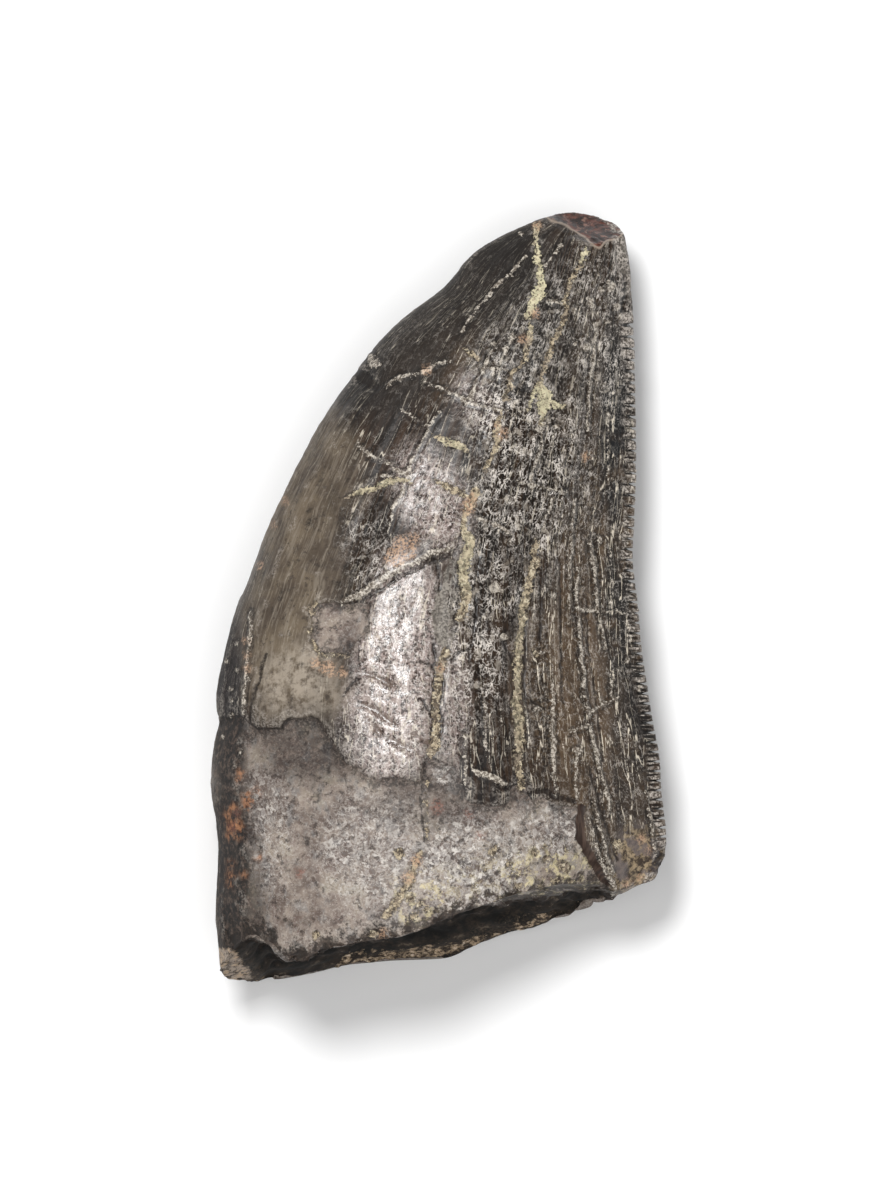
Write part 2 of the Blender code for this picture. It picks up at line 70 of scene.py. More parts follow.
# Marks along lines of (across, down, width) in the photograph's pixels
LINES = {
    # Filled veins
    "yellow": [
        [(537, 226, 7), (536, 232, 4), (536, 240, 2), (537, 248, 4), (537, 260, 6), (540, 267, 3), (539, 274, 6),
         (542, 281, 4), (541, 287, 8), (538, 294, 13), (535, 302, 9), (530, 312, 7), (526, 318, 5)],
        [(532, 325, 3), (529, 340, 6), (527, 348, 5), (524, 363, 3), (512, 375, 3), (511, 386, 6), (506, 396, 3)],
        [(501, 415, 3), (497, 433, 7), (498, 445, 5), (490, 460, 4), (484, 472, 3)],
        [(476, 492, 8), (470, 504, 9), (465, 516, 6), (463, 530, 6), (470, 540, 9), (468, 553, 12), (465, 565, 11),
         (464, 576, 10), (467, 592, 9), (465, 606, 9), (459, 617, 8)],
        [(447, 652, 8), (443, 659, 10), (439, 667, 8), (438, 680, 7), (437, 699, 7), (436, 719, 8), (436, 733, 8),
         (434, 745, 10), (431, 752, 7)],
        [(428, 778, 3), (427, 792, 2), (428, 812, 2), (427, 838, 2)],
        [(421, 849, 3), (416, 858, 6), (412, 870, 6), (408, 880, 8), (401, 893, 7), (394, 903, 6), (385, 912, 9)],
        [(587, 252, 6), (583, 261, 4), (577, 274, 3), (569, 285, 4), (565, 299, 3), (566, 312, 5), (562, 326, 4),
         (555, 341, 6), (549, 357, 6), (543, 372, 4), (538, 385, 4), (532, 400, 4), (528, 410, 3)],
        [(541, 390, 8), (545, 399, 13), (543, 411, 9), (541, 424, 3)],
        [(546, 400, 6), (556, 407, 5), (564, 408, 3)],
        [(537, 541, 3), (534, 553, 7), (536, 564, 8), (531, 577, 7), (526, 594, 8), (523, 611, 7), (521, 627, 8),
         (519, 643, 7), (518, 662, 8), (519, 684, 6), (516, 702, 6), (519, 716, 9), (519, 733, 9), (519, 752, 7),
         (520, 769, 6), (522, 790, 4)],
        [(412, 484, 2), (396, 480, 6), (376, 487, 5), (359, 493, 5), (347, 498, 2)],
        [(437, 482, 3), (449, 488, 8), (462, 495, 6), (470, 498, 3)],
        [(434, 437, 3), (447, 442, 6), (457, 446, 7), (467, 451, 4)],
        [(465, 350, 3), (472, 357, 6), (477, 363, 2)],
        [(311, 607, 4), (316, 603, 3)],
        [(312, 640, 3), (322, 655, 3), (349, 655, 3)],
    ],
    # Thin pale ridges
    "pale": [
        [(527, 256, 1), (516, 270, 2), (502, 281, 2), (489, 295, 2), (477, 311, 3), (468, 322, 2), (461, 334, 2)],
        [(562, 245, 2), (553, 256, 2), (544, 268, 2)],
        [(513, 336, 4), (506, 352, 4), (502, 358, 2)],
        [(492, 350, 2), (486, 366, 3), (480, 377, 2), (474, 389, 3), (470, 398, 2), (462, 412, 1)],
        [(444, 408, 1), (437, 417, 2), (426, 436, 2), (418, 452, 2), (413, 462, 3), (407, 478, 3), (401, 497, 3),
         (394, 509, 3), (391, 522, 2), (388, 536, 2)],
        [(423, 383, 2), (438, 389, 3), (454, 396, 3), (469, 404, 3), (487, 409, 3), (507, 414, 2), (523, 421, 1)],
        [(385, 387, 2), (400, 378, 4), (416, 375, 3), (427, 371, 4), (436, 365, 3), (451, 362, 2)],
        [(357, 446, 2), (368, 455, 4), (385, 463, 3), (400, 472, 3), (412, 480, 2)],
        [(367, 479, 1), (382, 477, 2), (396, 476, 2)],
        [(402, 411, 2), (414, 421, 2), (428, 428, 2)],
        [(487, 371, 2), (497, 371, 3), (508, 372, 2)],
        [(340, 602, 3), (352, 597, 5), (365, 591, 6), (376, 584, 8), (386, 577, 7), (396, 571, 6), (406, 566, 6),
         (418, 560, 6), (428, 555, 6), (440, 552, 5), (453, 547, 4)],
        [(571, 540, 2), (570, 556, 3), (569, 575, 2), (569, 600, 2), (569, 622, 2)],
        [(578, 570, 2), (577, 595, 3), (578, 623, 3), (580, 640, 2), (581, 656, 4), (583, 671, 2), (583, 681, 3),
         (588, 714, 2), (591, 731, 2), (593, 744, 4), (596, 752, 4), (600, 764, 2), (603, 780, 3), (606, 792, 5),
         (608, 804, 4), (607, 814, 2)],
        [(591, 540, 2), (593, 560, 3), (595, 581, 3), (597, 610, 2), (602, 628, 2), (606, 648, 2)],
        [(611, 550, 2), (611, 580, 2), (611, 606, 2)],
        [(597, 336, 2), (594, 360, 2), (590, 379, 3), (589, 394, 2), (589, 409, 2), (588, 430, 2)],
        [(609, 413, 2), (608, 440, 2), (608, 484, 2)],
        [(610, 477, 1), (617, 479, 2), (623, 480, 2)],
        [(578, 610, 1), (592, 611, 2), (610, 611, 2), (626, 612, 2), (640, 612, 2)],
        [(588, 714, 3), (594, 709, 2), (601, 706, 2), (609, 701, 2), (615, 697, 3), (617, 697, 1)],
        [(612, 680, 1), (611, 688, 2), (611, 697, 1)],
        [(570, 731, 2), (579, 729, 3), (588, 724, 2)],
        [(552, 664, 2), (552, 690, 3), (553, 712, 3), (552, 729, 3), (554, 742, 7), (553, 752, 4), (552, 766, 5),
         (553, 780, 2), (556, 796, 1)],
        [(536, 672, 1), (544, 690, 1), (552, 704, 1)],
        [(465, 733, 1), (465, 745, 2), (465, 765, 3), (465, 785, 2)],
        [(484, 698, 1), (484, 715, 2), (485, 740, 3), (488, 760, 1)],
        [(501, 690, 1), (500, 712, 1), (500, 724, 2)],
        [(575, 756, 3), (576, 772, 3), (575, 788, 3), (577, 800, 2)],
        [(470, 768, 3), (482, 772, 7), (494, 776, 6), (506, 782, 4)],
        [(644, 785, 1), (650, 812, 2), (655, 846, 2), (657, 856, 2)],
        [(589, 806, 2), (591, 822, 2), (595, 842, 3), (601, 858, 2), (608, 874, 3), (616, 887, 3), (611, 896, 3)],
        [(594, 796, 2), (598, 820, 2), (606, 850, 3), (613, 872, 2)],
        [(543, 301, 2), (552, 303, 4), (562, 305, 2)],
        [(446, 550, 2), (452, 545, 2), (457, 535, 2)],
        [(252, 612, 2), (250, 630, 2), (249, 648, 2), (248, 664, 3), (247, 680, 3), (245, 700, 3), (243, 716, 3)],
        [(556, 486, 2), (552, 500, 3), (549, 512, 2), (537, 540, 1)],
        [(544, 424, 2), (540, 450, 3), (533, 470, 3), (530, 500, 2)],
        [(515, 480, 2), (530, 487, 3), (548, 490, 3), (566, 494, 2)],
        [(470, 515, 2), (485, 521, 3), (500, 527, 3), (510, 536, 2)],
        [(575, 500, 2), (573, 520, 2), (571, 540, 2)],
        [(635, 470, 2), (637, 500, 1)],
    ],
    # Cracks
    "dark": [
        [(266, 653, 2), (262, 668, 3), (259, 681, 3), (254, 697, 2), (251, 709, 2), (250, 722, 2)],
        [(250, 722, 2), (256, 728, 2), (272, 729, 2), (281, 728, 2), (285, 721, 2), (291, 717, 3), (302, 718, 2),
         (313, 717, 2), (322, 723, 1)],
        [(344, 606, 1), (356, 602, 2), (370, 597, 2), (384, 589, 3), (394, 583, 3), (404, 576, 2), (416, 570, 2),
         (428, 564, 2), (442, 560, 2), (455, 554, 1)],
        [(408, 660, 2), (420, 660, 3), (432, 664, 3), (434, 672, 2)],
        [(422, 698, 3), (427, 706, 3), (432, 716, 3)],
        [(345, 693, 3), (352, 683, 3), (360, 676, 3)],
        [(435, 560, 2), (438, 574, 2), (440, 590, 2)],
        [(434, 645, 3), (434, 665, 3), (433, 690, 3), (432, 715, 3), (431, 740, 3)],
        [(445, 668, 3), (443, 690, 3), (442, 715, 3), (441, 738, 2)],
        [(452, 660, 4), (459, 652, 3), (470, 648, 2)],
        [(425, 757, 3), (427, 765, 4), (424, 775, 3), (423, 790, 2), (422, 812, 3), (425, 838, 2)],
        [(505, 640, 3), (512, 660, 2), (513, 690, 2), (511, 712, 3)],
        [(526, 620, 3), (525, 650, 3), (524, 690, 3), (526, 730, 3), (525, 760, 2)],
        [(530, 700, 4), (540, 701, 3), (549, 700, 2)],
        [(498, 784, 3), (506, 788, 4), (512, 786, 3)],
        [(529, 792, 5), (545, 789, 5), (560, 797, 6), (574, 800, 6)],
        [(590, 765, 2), (594, 782, 3), (598, 796, 3), (604, 816, 3), (610, 836, 3), (618, 860, 2)],
        [(560, 560, 1), (560, 600, 2), (561, 640, 2), (563, 700, 2)],
        [(541, 570, 1), (541, 600, 2), (540, 640, 2)],
        [(480, 545, 2), (477, 580, 2), (475, 620, 2), (470, 660, 2)],
        [(587, 600, 1), (589, 650, 2), (596, 700, 2), (604, 760, 2)],
        [(508, 320, 2), (500, 336, 3), (492, 348, 2)],
        [(356, 372, 6), (364, 378, 12), (370, 384, 10), (376, 388, 5)],
    ],
    # A smooth grey filling
    "grey": [
        [(450, 560, 2), (446, 580, 5), (442, 598, 11), (440, 615, 14), (441, 632, 13), (447, 648, 7)],
        [(455, 560, 2), (452, 600, 3), (452, 640, 3)],
    ],
    # Shallow dents across the shiny crest
    "gouge": [
        [(365, 672, 4), (378, 676, 6), (390, 681, 7), (397, 684, 4)],
        [(360, 701, 5), (372, 707, 7), (385, 715, 7), (396, 723, 4)],
        [(365, 716, 3), (375, 722, 5), (378, 730, 7), (382, 733, 5)],
        [(390, 736, 4), (402, 743, 6), (414, 748, 4), (424, 753, 3)],
        [(413, 732, 5), (421, 737, 6), (430, 741, 3)],
    ],
    # A sunken strip beside the split at the lower right
    "split": [
        [(581, 806, 7), (581, 820, 9), (582, 836, 9), (588, 850, 9), (597, 866, 9), (606, 879, 8), (610, 886, 4)],
    ],
    # Tan grains along the lower rim of the break
    "grains": [
        [(338, 970, 10), (370, 966, 14), (400, 962, 15), (430, 957, 14), (470, 949, 9), (500, 940, 7)],
        [(500, 940, 7), (530, 931, 6), (560, 925, 7), (590, 919, 8), (606, 912, 8)],
        [(222, 986, 8), (245, 986, 6), (262, 984, 4)],
    ],
}

# Small marks: (across, down, radius) in pixels
SPOTS = {
    "yellow": [
        (494, 850, 4), (497, 846, 3), (519, 872, 3), (519, 884, 4), (565, 866, 5), (560, 862, 3), (542, 887, 4),
        (399, 851, 5), (316, 932, 4), (420, 900, 4), (415, 912, 3), (427, 905, 3), (536, 850, 3), (548, 856, 3),
        (571, 880, 3), (556, 880, 3), (508, 862, 3), (487, 868, 2), (530, 866, 2), (412, 895, 4), (374, 930, 4),
        (546, 845, 2), (501, 898, 3), (313, 612, 3), (311, 630, 2), (536, 652, 3), (505, 400, 3), (618, 842, 4),
    ],
    "orange": [
        (504, 434, 5), (498, 428, 3), (523, 341, 4), (536, 314, 4), (427, 371, 4), (469, 505, 6), (473, 498, 4),
        (440, 666, 4), (585, 457, 4), (384, 930, 5), (416, 858, 5), (408, 874, 5), (642, 838, 4), (649, 850, 3),
        (284, 501, 3), (273, 525, 3), (260, 566, 3), (249, 668, 4), (247, 655, 3), (405, 549, 12), (395, 558, 9),
        (412, 541, 7), (537, 226, 4), (640, 878, 4), (627, 884, 4), (289, 966, 4), (330, 668, 7), (318, 663, 6),
        (342, 672, 5), (468, 512, 5), (246, 640, 3),
    ],
    "pale": [
        (592, 308, 3), (611, 286, 4), (602, 291, 3), (617, 307, 4), (588, 348, 4), (521, 234, 2), (573, 311, 3),
        (590, 303, 4), (608, 322, 2), (598, 277, 2), (610, 290, 4), (619, 318, 3), (231, 701, 2), (231, 714, 2),
        (238, 642, 2), (227, 662, 2), (238, 670, 2), (231, 688, 2), (220, 736, 2), (239, 749, 2), (234, 764, 2),
        (536, 708, 3), (545, 720, 2), (600, 700, 2), (620, 668, 3), (628, 660, 3), (560, 330, 3), (575, 345, 3),
        (494, 346, 3), (493, 376, 3), (540, 430, 4), (556, 428, 3), (375, 364, 5), (371, 358, 4), (600, 540, 3),
        (552, 596, 3), (505, 637, 4), (541, 652, 2), (470, 400, 3), (581, 660, 3), (640, 690, 2), (577, 750, 4),
    ],
    "rust": [
        (230, 808, 6), (227, 816, 5), (233, 824, 8), (229, 834, 6), (236, 834, 4), (238, 828, 5), (229, 862, 4),
        (229, 874, 5), (228, 882, 4), (248, 797, 7), (256, 790, 4), (246, 805, 5), (240, 772, 4), (238, 778, 3),
        (243, 872, 3), (258, 855, 3),
    ],
    "red": [
        (438, 804, 7), (470, 812, 4), (235, 812, 4), (231, 826, 4), (480, 834, 4), (300, 870, 5),
    ],
}

# Closed outlines in pixels
OUTLINES = {
    # Where the enamel has flaked off, in two places
    "bare": [
        (180, 716), (243, 716), (250, 725), (256, 729), (272, 729), (281, 728), (285, 721), (291, 717), (302, 718),
        (313, 717), (322, 723), (330, 736), (337, 744), (341, 753), (345, 762), (350, 763), (360, 764), (365, 773),
        (372, 777), (380, 778), (388, 776), (395, 775), (408, 778), (415, 779), (421, 776), (424, 764), (432, 756),
        (440, 760), (454, 765), (463, 780), (465, 797), (473, 801), (486, 803), (500, 804), (509, 801), (511, 790),
        (514, 784), (525, 782), (529, 793), (532, 801), (542, 794), (552, 801), (559, 805), (578, 806), (579, 832),
        (577, 838), (583, 846), (592, 860), (601, 872), (613, 884), (613, 900), (620, 1020), (180, 1020),
    ],
    "small": [
        (310, 609), (316, 604), (335, 602), (352, 603), (371, 602), (369, 616), (368, 630), (358, 640), (351, 654),
        (336, 652), (322, 653), (311, 642), (314, 628),
    ],
    # The same on the side that the tooth lies on, seen through it
    "under": [
        (180, 716), (222, 718), (268, 752), (330, 775), (402, 798), (462, 850), (540, 836), (600, 874), (690, 860),
        (690, 1040), (180, 1040),
    ],
    # The break and its corner by the front edge
    "rim": [
        (196, 941), (219, 945), (226, 942), (235, 940), (250, 936), (265, 940), (276, 951), (285, 962), (291, 961),
        (298, 957), (313, 953), (330, 946), (350, 944), (368, 941), (390, 938), (410, 934), (430, 928), (450, 920),
        (470, 911), (506, 903), (541, 900), (567, 894), (597, 889), (621, 900), (660, 905), (660, 1040),
        (196, 1040),
    ],
    "corner": [
        (204, 946), (222, 947), (236, 950), (243, 962), (250, 974), (252, 1000), (204, 1000),
    ],
    # The worn tip
    "wear": [
        (551, 221), (540, 205), (600, 200), (640, 215), (621, 235), (614, 238), (606, 241), (600, 248), (595, 246),
        (591, 243), (585, 236), (577, 231), (566, 224),
    ],
}

# Soft zones: (across, down, half width, half height, turn in degrees, strength), in pixels
ZONES = {
    "worn": [(296, 520, 42, 120, 12, 1.0), (288, 640, 50, 90, 0, 1.0), (325, 455, 34, 60, 25, 0.8),
             (300, 700, 50, 40, 0, 0.8)],
    # The shiny crest, whose colour also carries a painted sheen
    "gloss_and_sheen": [(408, 610, 34, 62, 10, 0.85), (396, 670, 40, 80, 5, 1.0), (388, 725, 44, 56, 0, 1.0),
              (432, 500, 34, 56, 25, 0.8), (478, 405, 22, 34, 35, 0.4), (452, 700, 18, 70, 0, 0.6)],
    "rough": [(530, 440, 62, 130, 0, 1.0), (500, 560, 40, 60, 0, 0.85), (600, 330, 38, 90, 0, 0.8),
              (475, 640, 30, 80, 0, 0.9), (545, 330, 40, 60, 0, 0.8), (366, 550, 24, 44, 0, 0.5)],
    "umber": [(600, 600, 46, 150, 0, 1.0), (560, 690, 46, 90, 0, 1.0), (605, 770, 45, 90, 0, 0.9),
              (590, 400, 30, 110, 0, 0.5), (440, 330, 80, 70, 35, 0.5)],
    # Blue-black enamel along the rear edge and in a chip, darkened further as painted shade
    "inky_and_shade": [(614, 430, 15, 110, 0, 1.0), (616, 620, 15, 90, 0, 0.8), (628, 740, 18, 80, 0, 0.7),
             (364, 380, 14, 12, 0, 1.0), (628, 820, 22, 30, 0, 0.5)],
    # Plum-dark enamel on the steep left side and by the bare patch, darkened further as painted shade
    "plum_and_shade": [(222, 690, 24, 150, 4, 1.0), (228, 860, 28, 120, 0, 1.0), (245, 905, 22, 50, 0, 0.7),
             (310, 745, 60, 40, 0, 0.6), (430, 800, 60, 30, 0, 0.4)],
    "buff": [(635, 862, 30, 38, -10, 1.0), (560, 872, 70, 30, 0, 0.9), (420, 895, 30, 30, 0, 0.8),
             (345, 560, 30, 24, 0, 0.4), (490, 880, 60, 24, 0, 0.4)],
    # Painted shade over the end towards the tip
    "shade_by_tip": [(470, 275, 100, 62, 40, 1.0), (395, 365, 70, 50, 45, 0.9), (505, 245, 50, 30, 0, 0.8),
             (535, 335, 50, 80, 20, 0.6)],
    "cream": [(534, 280, 20, 46, 0, 1.0), (545, 402, 20, 18, 0, 0.9), (590, 252, 12, 14, 0, 0.8),
              (467, 560, 16, 34, 0, 0.4), (519, 660, 12, 80, 0, 0.2),
              (452, 447, 14, 12, 0, 0.5), (380, 486, 34, 14, 0, 0.4)],
    "fawn": [(305, 688, 52, 44, 0, 1.0), (330, 664, 34, 20, 0, 1.0)],
    "slate": [(470, 860, 60, 50, 0, 0.9), (380, 850, 60, 60, 0, 0.6), (548, 830, 50, 26, 0, 0.7),
              (262, 830, 30, 60, 0, 0.5), (445, 773, 12, 14, 0, 1.0)],
}

# Relief in millimetres
BARE_STEP, BARE_HEIGHT = 0.14, 0.045
GREY_DEPTH = 0.04
FILL_DEPTH, FILL_HEIGHT = 0.07, 0.08
CRACK_DEPTH = 0.09
GOUGE_DEPTH = 0.12
SLIT_RELIEF = 0.09
SPLIT_DEPTH = 0.14
RIDGE_HEIGHT, RIDGE_FOOT = 0.05, 0.04
STRIPE_HEIGHT = 0.035
CRINKLE_HEIGHT = 0.06
WORN_HEIGHT = 0.05
FINE_HEIGHT, BROAD_HEIGHT = 0.02, 0.05
GRAIN_HEIGHT = 0.15
BREAK_RELIEF = 0.35
HOLLOW_DEPTH = 0.55
RUBBLE_HEIGHT = 0.1
RIM_FALL = 0.4

# How far marks wander from their places, in millimetres: lines on a small and a large scale, the rim
# of the break, and the bare zone's edge on the steep sides
SMALL_WANDER, LARGE_WANDER = 0.07, 0.09
RIM_WANDER = 0.3
SIDE_WANDER = 0.8

# Upward part of a normal where the upper side starts, marks fade out and in, the sides turn from
# flat to steep, and the break ends underneath
UPPER_FROM = -0.05
FADED_BELOW, WHOLE_ABOVE, FADE_WANDER = -0.6, 0.0, 0.3
FLAT_ABOVE, STEEP_BELOW = 0.6, 0.2
BREAK_ABOVE = -0.5
# A soft zone is whole within the first share of its half size and gone beyond the second
ZONE_CORE, ZONE_REACH = 0.55, 1.35

# The rear edge is serrated between these heights in the photograph, and its slits fade out there
# over this many millimetres
SERRATED_FROM, SERRATED_TO, SERRATED_FADE = 285, 868, 0.4
# The edge's profile is read in steps of this many millimetres, and its crests within this many steps
EDGE_STEP, EDGE_REACH = 0.07, 5
# Rounds of smoothing against which hollows and ridges are measured
SMOOTHING_ROUNDS = 12
# Two triangles become one face where they meet this flatly and its corners are this near to square
FLAT_DEGREES, SQUARE_DEGREES = 70, 75
# Edges longer than this many millimetres are divided, in this many rounds
LONG_EDGE, LONG_ROUNDS = 1.5, 3
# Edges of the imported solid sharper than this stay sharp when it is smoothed
SHARP_DEGREES, SHARPNESS = 48, 0.7
SMOOTH_LEVELS = 2

# A distance in millimetres that stands for no mark near
FAR = 9.0
# How far from a line the mesh is made finer, in millimetres
LINE_REACH = 0.03

# Lines of growth, in millimetres: length of the slices that the crown is measured in, the lowest place
# where its width is whole, its least half width, and the radius that turns an angle into a girth
SLICE, WHOLE_FROM, LEAST_HALF, GIRTH_RADIUS = 0.5, -14.0, 0.8, 9.0

# Levels of the camera and of the tooth's outline above the floor, in metres
CAMERA_HEIGHT, OUTLINE_LEVEL = 0.8, 0.0072
SENSOR_WIDTH_MM = 36.0
# Half the floor's side and the gap under the tooth, in metres
FLOOR_HALF, FLOOR_GAP = 4.0, 0.00002
# Each light's place and size in metres, and its power in watts
LIGHTS = {
    "key_light": ((-0.055, 0.13, 0.39), 0.1, 1.3),
    "soft_light": ((0.08, -0.2, 0.98), 0.9, 5.6),
}
LIT_PLACE = (0.0, 0.0, 0.008)
WORLD_STRENGTH = 0.15


def smooth_step(low, high, value):
    share = np.clip((value - low) / (high - low), 0.0, 1.0)
    return share * share * (3.0 - 2.0 * share)


def from_photo(across, down):
    """Place in plan, in millimetres, of a pixel of the photograph."""
    x = (across - 0.5 * (OUTLINE_LEFT + OUTLINE_RIGHT)) * SCALE_X + 0.5 * (LOW.x + HIGH.x) / MM
    y = (0.5 * (OUTLINE_TOP + OUTLINE_BOTTOM) - down) * SCALE_Y + 0.5 * (LOW.y + HIGH.y) / MM
    return x, y


def added(name, data):
    """A new object in the scene."""
    thing = bpy.data.objects.new(name, data)
    bpy.context.scene.collection.objects.link(thing)
    return thing


def from_segment(start, end, x, y):
    """Share of the way along a segment for each point, and its distance from the segment."""
    ax, ay = start
    dx, dy = end[0] - ax, end[1] - ay
    share = np.clip(((x - ax) * dx + (y - ay) * dy) / (dx * dx + dy * dy), 0.0, 1.0)
    return share, np.hypot(x - ax - share * dx, y - ay - share * dy)


def line_distance(lines, x, y):
    """Distance in millimetres from the edge of the nearest line, negative on a line."""
    nearest = np.full(len(x), FAR)
    for line in lines:
        for start, end in zip(line, line[1:]):
            share, away = from_segment(from_photo(*start[:2]), from_photo(*end[:2]), x, y)
            half = 0.5 * PIXEL * (start[2] + (end[2] - start[2]) * share)
            nearest = np.minimum(nearest, away - half)
    return nearest


def spot_distance(spots, x, y):
    nearest = np.full(len(x), FAR)
    for across, down, radius in spots:
        cx, cy = from_photo(across, down)
        nearest = np.minimum(nearest, np.hypot(x - cx, y - cy) - radius * PIXEL)
    return nearest


def outline_distance(outline, x, y):
    """Distance in millimetres from a closed outline, negative inside it."""
    corners = [from_photo(*corner) for corner in outline]
    nearest = np.full(len(x), np.inf)
    inside = np.zeros(len(x), dtype=bool)
    for start, end in zip(corners, corners[1:] + corners[:1]):
        nearest = np.minimum(nearest, from_segment(start, end, x, y)[1])
        (ax, ay), (bx, by) = start, end
        if by != ay:
            inside ^= ((ay > y) != (by > y)) & (x < ax + (y - ay) * (bx - ax) / (by - ay))
    return np.where(inside, -nearest, nearest)


def zone_strength(zone, x, y):
    """How much of a soft zone is at each point, from 0 to 1."""
    total = np.zeros(len(x))
    for across, down, half_width, half_height, turn, strength in zone:
        cx, cy = from_photo(across, down)
        angle = math.radians(turn)
        ex, ey = x - cx, y - cy
        u = (ex * math.cos(angle) + ey * math.sin(angle)) / (half_width * PIXEL)
        v = (-ex * math.sin(angle) + ey * math.cos(angle)) / (half_height * PIXEL)
        total = np.maximum(total, strength * (1 - smooth_step(ZONE_CORE, ZONE_REACH, np.hypot(u, v))))
    return total


def noise_field(points, size, seed, octaves=3):
    """Fractal noise between about -1 and 1, for points in millimetres."""
    shift = Vector((seed * 7.3, seed * 3.1, seed * 5.7))
    return np.array([
        noise.fractal(Vector(point) / size + shift, 1.0, 2.0, octaves) for point in points
    ])


def warped(points):
    """Plan of the points, shifted a little so that lines drawn on it wander."""
    moved = []
    for axis, small, large in ((0, 3, 5), (1, 6, 8)):
        wander = SMALL_WANDER * noise_field(points, 0.5, small, 2)
        moved.append(points[:, axis] + wander + LARGE_WANDER * noise_field(points, 1.4, large, 2))
    return moved


def quad_copy(node):
    """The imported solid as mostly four-sided faces, with its long flat triangles divided."""
    work = bmesh.new()
    work.from_mesh(node.data)
    bmesh.ops.remove_doubles(work, verts=work.verts, dist=1e-6)
    bmesh.ops.join_triangles(
        work, faces=work.faces,
        angle_face_threshold=math.radians(FLAT_DEGREES), angle_shape_threshold=math.radians(SQUARE_DEGREES),
    )
    for _ in range(LONG_ROUNDS):
        long_edges = [edge for edge in work.edges if edge.calc_length() > LONG_EDGE * MM]
        if long_edges:
            bmesh.ops.subdivide_edges(work, edges=long_edges, cuts=1, use_grid_fill=True)
    crease = work.edges.layers.float.new("crease_edge")
    for edge in work.edges:
        if edge.is_manifold and edge.calc_face_angle() > math.radians(SHARP_DEGREES):
            edge[crease] = SHARPNESS
    mesh = bpy.data.meshes.new("tooth_skin")
    work.to_mesh(mesh)
    work.free()
    return mesh


def subdivided(mesh):
    """Mesh after smooth subdivision."""
    holder = added("holder", mesh)
    modifier = holder.modifiers.new("smooth", "SUBSURF")
    modifier.levels = SMOOTH_LEVELS
    modifier.render_levels = SMOOTH_LEVELS
    graph = bpy.context.evaluated_depsgraph_get()
    result = bpy.data.meshes.new_from_object(holder.evaluated_get(graph))
    bpy.data.objects.remove(holder)
    return result


def refine_near_lines(mesh):
    """Divides the upper faces that a thin line runs through."""
    points, outward = positions(mesh), normals(mesh)
    x, y = warped(points)
    nearest = line_distance(LINES["yellow"] + LINES["pale"] + LINES["dark"], x, y)
    wanted = (nearest < LINE_REACH) & (outward[:, 2] > 0.0)
    work = bmesh.new()
    work.from_mesh(mesh)
    edges = [edge for edge in work.edges if wanted[edge.verts[0].index] and wanted[edge.verts[1].index]]
    bmesh.ops.subdivide_edges(work, edges=edges, cuts=1, use_grid_fill=True)
    work.to_mesh(mesh)
    work.free()
    mesh.update()


def vectors(mesh, name):
    flat = np.empty(len(mesh.vertices) * 3)
    mesh.vertices.foreach_get(name, flat)
    return flat.reshape(-1, 3)


def positions(mesh):
    return vectors(mesh, "co") / MM


def normals(mesh):
    return vectors(mesh, "normal")


def store(mesh, name, values):
    """Keeps one number for each vertex, which the material reads."""
    attribute = mesh.attributes.new(name, "FLOAT", "POINT")
    attribute.data.foreach_set("value", np.asarray(values, dtype=np.float32))


def growth_coordinates(points):
    """Distance round the crown from its front edge and along it, in millimetres, for lines of growth."""
    x, y, z = points.T
    bins = np.arange(y.min(), y.max() + SLICE, SLICE)
    which = np.clip(np.digitize(y, bins) - 1, 0, len(bins) - 1)
    filled = np.isin(np.arange(len(bins)), which)

    def profile(values, pick, trusted):
        """Least or largest value of each slice, read at every point."""
        known = filled & trusted
        each = [pick(values[which == k]) for k in np.flatnonzero(known)]
        return np.interp(y, bins + 0.5 * SLICE, np.interp(bins, bins[known], each))

    whole = bins > WHOLE_FROM
    left, right = profile(x, np.min, whole), profile(x, np.max, whole)
    roof, ground = profile(z, np.max, filled), profile(z, np.min, filled)
    half_width = np.maximum(0.5 * (right - left), LEAST_HALF)
    half_height = np.maximum(0.5 * (roof - ground), LEAST_HALF)
    u = (x - 0.5 * (left + right)) / half_width
    v = (z - 0.5 * (roof + ground)) / half_height
    return np.arctan2(np.abs(v), -u) * GIRTH_RADIUS, y


def marks(points, outward):
    """Every distance and zone that the relief and the material use, by name."""
    x, y = warped(points)
    facing = outward[:, 2]
    upper = facing > UPPER_FROM
    fading = smooth_step(FADED_BELOW, WHOLE_ABOVE, facing + FADE_WANDER * noise_field(points, 1.6, 10, 3))
    outlined = {name: outline_distance(outline, x, y) for name, outline in OUTLINES.items()}
    found = {name: line_distance(lines, x, y) for name, lines in LINES.items()}
    for name, spots in SPOTS.items():
        found[name] = np.minimum(found.get(name, FAR), spot_distance(spots, x, y))
    found.update({name: outlined[name] for name in ("rim", "corner", "wear")})
    found = {name: distance + FAR * (1 - fading) for name, distance in found.items()}
    bare = np.where(upper, np.minimum(outlined["bare"], outlined["small"]), outlined["under"])
    steep = smooth_step(FLAT_ABOVE, STEEP_BELOW, facing)
    found["bare"] = bare + SIDE_WANDER * steep * noise_field(points, 1.8, 12, 3)
    ragged = RIM_WANDER * noise_field(points, 0.9, 9, 3)
    found["rim"] = found["rim"] + ragged
    # The break faces away from the tip
    broken = outlined["rim"] + ragged + 2.0 * smooth_step(-0.3, 0.05, outward[:, 1])
    found["broken"] = np.where(facing > BREAK_ABOVE, broken, FAR)
    for name, zone in ZONES.items():
        found[name] = zone_strength(zone, x, y) * fading
    found["slit"], found["edge"] = serration(points)
    found["edge"] = np.where(upper, found["edge"], FAR)
    return found


